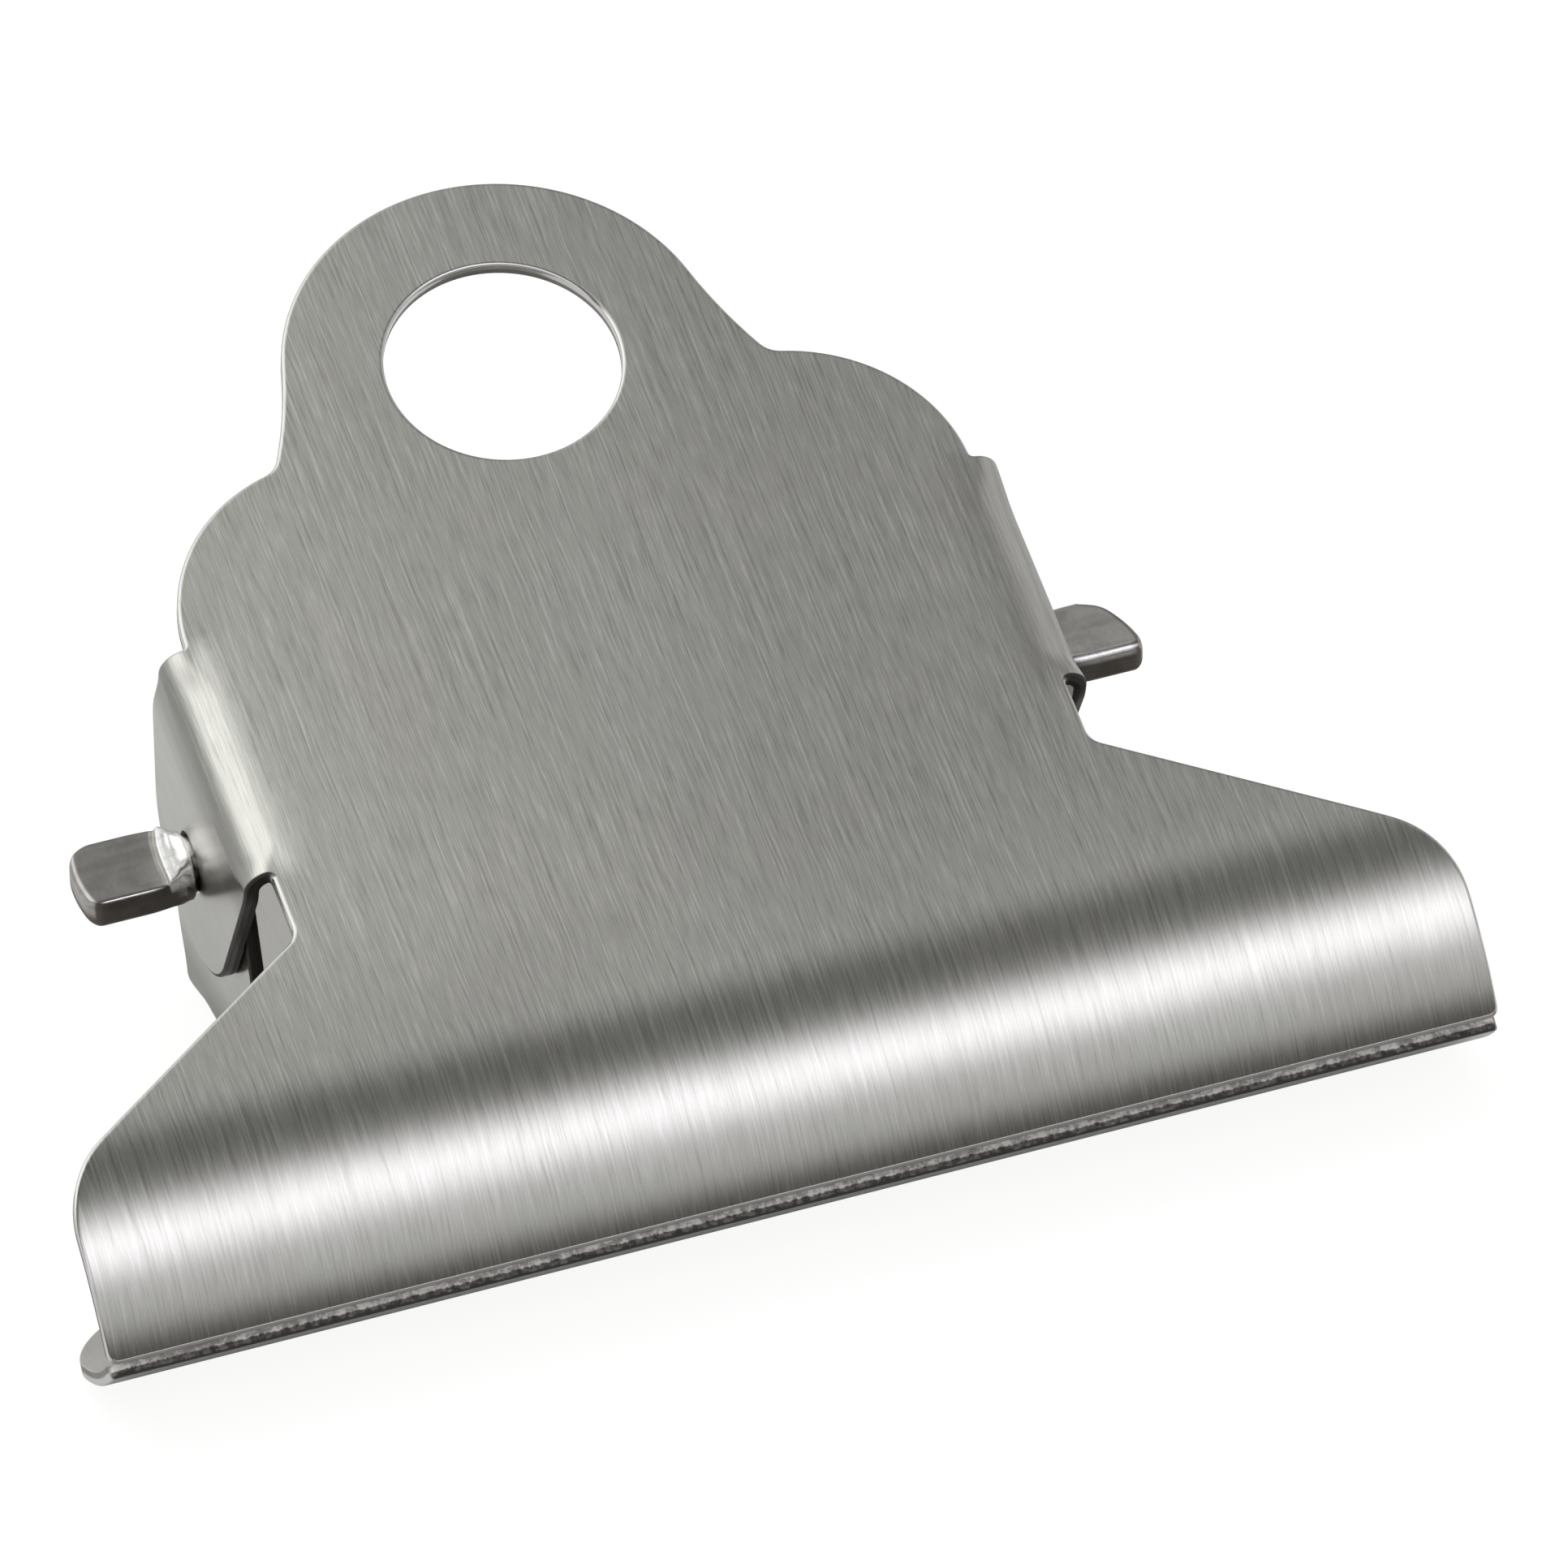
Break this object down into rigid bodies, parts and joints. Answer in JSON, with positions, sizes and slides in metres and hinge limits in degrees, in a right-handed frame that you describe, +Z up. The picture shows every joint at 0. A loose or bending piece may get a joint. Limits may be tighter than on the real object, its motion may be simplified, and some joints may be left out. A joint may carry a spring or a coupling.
{
  "type": "binder clip",
  "caption": "Wide-jaw sheet-steel spring clip: curled jaws, handles with hanging holes, ears on a cross pin with flattened ends, closed by a torsion spring.",
  "frame": {"origin": "centre of the bounding box in plan, on the lower plate's flat rest face", "axes": "+X along the jaw, +Y from the jaw to the handles, +Z up from the lower plate to the upper plate"},
  "size_m": [0.076, 0.0634, 0.0342],
  "materials": {
    "plate_steel": "brushed along the handle, satin",
    "pin_steel": "dull plated, brown scale on the squeezed sides",
    "spring_steel": "bright drawn wire"
  },
  "bodies": {
    "lower_half": {"lower_plate": "plate_steel", "torsion_spring": "spring_steel"},
    "upper_half": {"upper_plate": "plate_steel"},
    "pin": {"pivot_pin": "pin_steel"}
  },
  "joints": [
    {"name": "jaw_hinge", "type": "hinge", "parent": "lower_half", "child": "upper_half", "pos_m": [0, 0.00003, 0.01316], "axis": [-1, 0, 0], "range_deg": [0, 60], "stiffness_Nm_per_rad": 0.45, "springref_deg": -51.57, "deforming": ["torsion_spring"]},
    {"name": "pin_spin", "type": "hinge", "parent": "lower_half", "child": "pin", "pos_m": [0, 0.00003, 0.01316], "axis": [1, 0, 0], "continuous": true}
  ]
}
